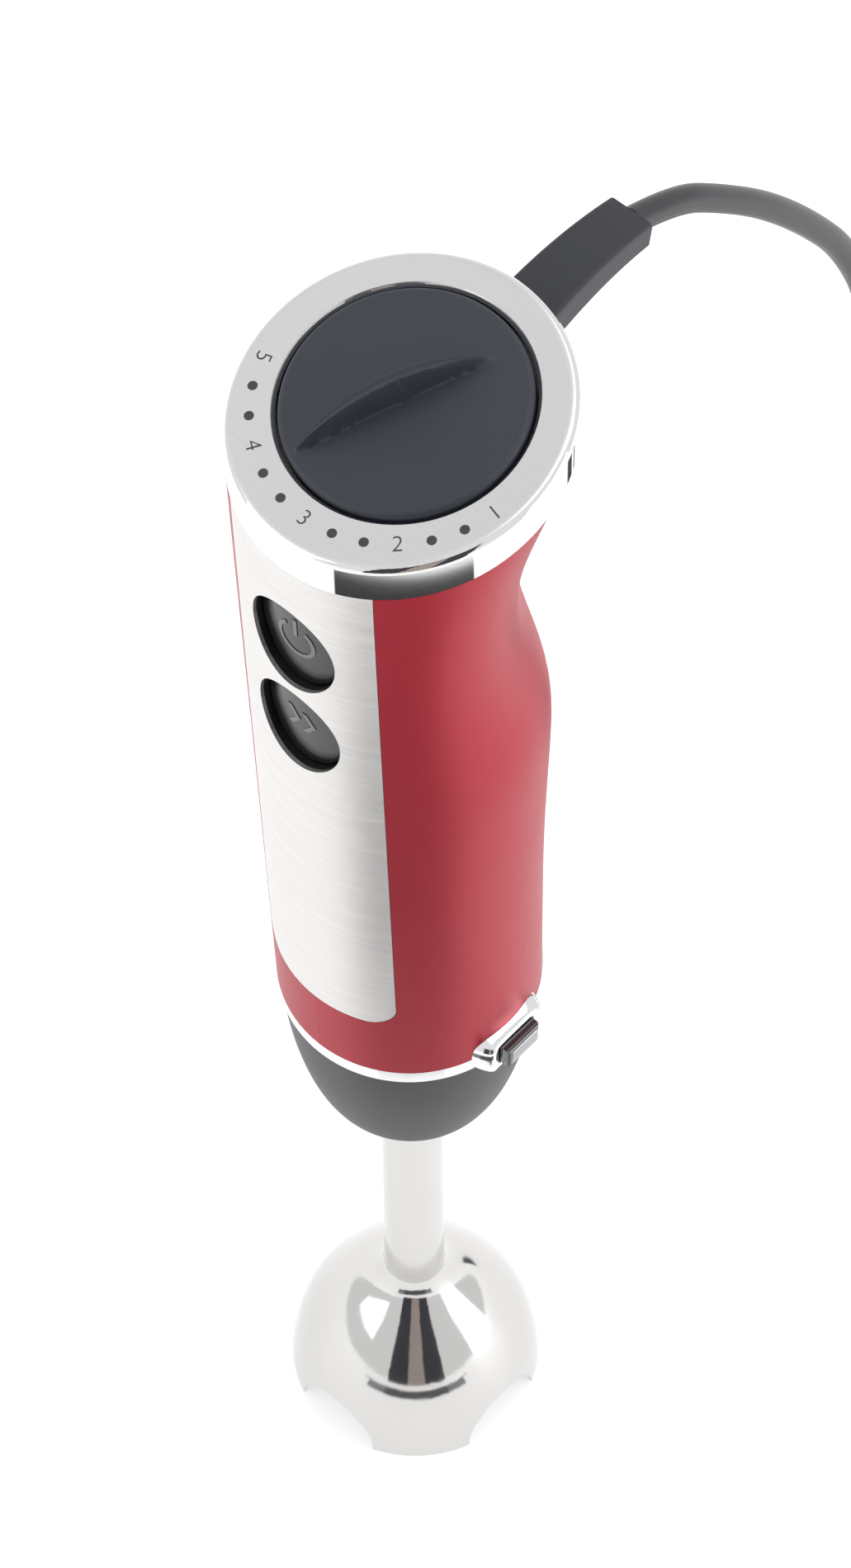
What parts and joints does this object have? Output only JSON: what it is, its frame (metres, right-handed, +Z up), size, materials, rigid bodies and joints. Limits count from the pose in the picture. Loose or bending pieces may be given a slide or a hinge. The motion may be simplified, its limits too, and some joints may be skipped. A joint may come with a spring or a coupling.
{
  "type": "immersion blender",
  "caption": "Corded stick mixer: motor handle with a tilted speed dial, two push keys, a lift-off steel leg with a four-arched guard and a spinning blade.",
  "frame": {"origin": "on the drive axis, on the surface that the blade guard stands on", "axes": "+Z up along the drive axis; -Y is the front with the steel plate and the keys; the mains cord leaves the head towards +Y; +X is the object's left side"},
  "size_m": [0.082, 0.3511, 0.3985],
  "materials": {
    "red_shell": "satin metallic red lacquer",
    "brushed_plate": "brushed across, satin",
    "chrome_trim": "polished chrome plate",
    "soft_black": "matt soft-touch",
    "black_gloss": "moulded, semi-gloss",
    "polished_steel": "mirror-polished stainless steel",
    "machined_steel": "ground",
    "core_steel": "stacked laminations",
    "copper": "enamelled copper",
    "bronze": "sintered bronze",
    "rubber_black": "matt",
    "cord_rubber": "satin",
    "nylon_white": "moulded",
    "component_black": "moulded",
    "capacitor_yellow": "moulded",
    "board_green": "lacquered",
    "heatsink_alu": "extruded",
    "brush_brass": "stamped"
  },
  "bodies": {
    "handle": {"housing_left": "red_shell", "housing_right": "red_shell", "front_plate": "brushed_plate", "button_frame": "black_gloss", "joint_collar": "chrome_trim", "dial_ring": "chrome_trim", "head_carrier": "nylon_white", "speed_potentiometer": "component_black", "control_board": "board_green", "triac_heatsink": "heatsink_alu", "suppressor_capacitor": "capacitor_yellow", "mains_choke": "component_black", "power_switch": "component_black", "turbo_switch": "component_black", "power_spring": "machined_steel", "turbo_spring": "machined_steel", "release_spring_left": "machined_steel", "release_spring_right": "machined_steel", "lower_bracket": "nylon_white", "upper_bracket": "nylon_white", "motor_bolts": "machined_steel", "lower_bearing": "machined_steel", "upper_bearing": "machined_steel", "rubber_mounts": "rubber_black", "stator_core": "core_steel", "field_coils": "copper", "carbon_brushes": "component_black", "brush_holders": "brush_brass", "cord_boot": "soft_black", "cord_clamp": "nylon_white", "mains_cord": "cord_rubber", "cord_coil": "cord_rubber", "mains_plug": "cord_rubber", "plug_pins": "machined_steel"},
    "speed_dial": {"speed_knob": "soft_black", "knob_stem": "nylon_white"},
    "power_key": {"power_button": "black_gloss"},
    "turbo_key": {"turbo_button": "black_gloss"},
    "power_contact": {"power_plunger": "nylon_white"},
    "turbo_contact": {"turbo_plunger": "nylon_white"},
    "release_left": {"release_button_left": "black_gloss"},
    "release_right": {"release_button_right": "black_gloss"},
    "rotor": {"motor_shaft": "machined_steel", "armature_core": "core_steel", "armature_winding": "copper", "commutator": "copper", "cooling_fan": "nylon_white", "driving_star": "nylon_white"},
    "mixing_leg": {"coupling_cup": "soft_black", "shaft_tube": "polished_steel", "upper_bush": "bronze", "lower_bush": "bronze", "lip_seal": "rubber_black", "blade_guard": "polished_steel"},
    "blade_drive": {"drive_shaft": "machined_steel", "thrust_washer": "machined_steel", "driven_socket": "nylon_white", "blade": "polished_steel", "blade_hub": "nylon_white", "blade_nut": "polished_steel"}
  },
  "joints": [
    {"name": "dial_turn", "type": "hinge", "parent": "handle", "child": "speed_dial", "pos_m": [0, 0.0012, 0.39], "axis": [0, -0.225, 0.9744], "range_deg": [-46, 99]},
    {"name": "power_press", "type": "slide", "parent": "handle", "child": "power_key", "axis": [0, 1, 0], "range_m": [0, 0.002], "stiffness_N_per_m": 300, "springref_m": -0.002, "deforming": ["power_spring"]},
    {"name": "turbo_press", "type": "slide", "parent": "handle", "child": "turbo_key", "axis": [0, 1, 0], "range_m": [0, 0.002], "stiffness_N_per_m": 300, "springref_m": -0.002, "deforming": ["turbo_spring"]},
    {"name": "power_contact_slide", "type": "slide", "parent": "handle", "child": "power_contact", "axis": [0, 1, 0], "range_m": [0, 0.002]},
    {"name": "turbo_contact_slide", "type": "slide", "parent": "handle", "child": "turbo_contact", "axis": [0, 1, 0], "range_m": [0, 0.002]},
    {"name": "release_left_press", "type": "slide", "parent": "handle", "child": "release_left", "axis": [-1, 0, 0], "range_m": [0, 0.002], "stiffness_N_per_m": 400, "springref_m": -0.002, "deforming": ["release_spring_left"]},
    {"name": "release_right_press", "type": "slide", "parent": "handle", "child": "release_right", "axis": [1, 0, 0], "range_m": [0, 0.002], "stiffness_N_per_m": 400, "springref_m": -0.002, "deforming": ["release_spring_right"]},
    {"name": "motor_spin", "type": "hinge", "parent": "handle", "child": "rotor", "pos_m": [0, 0, 0.24], "axis": [0, 0, 1], "continuous": true},
    {"name": "leg_release", "type": "slide", "parent": "handle", "child": "mixing_leg", "axis": [0, 0, -1], "range_m": [0, 0.06]},
    {"name": "blade_spin", "type": "hinge", "parent": "mixing_leg", "child": "blade_drive", "pos_m": [0, 0, 0.1], "axis": [0, 0, 1], "continuous": true}
  ],
  "couplings": [
    {"joint": "power_contact_slide", "follows": "power_press", "ratio": 1},
    {"joint": "turbo_contact_slide", "follows": "turbo_press", "ratio": 1},
    {"joint": "blade_spin", "follows": "motor_spin", "ratio": 1}
  ]
}
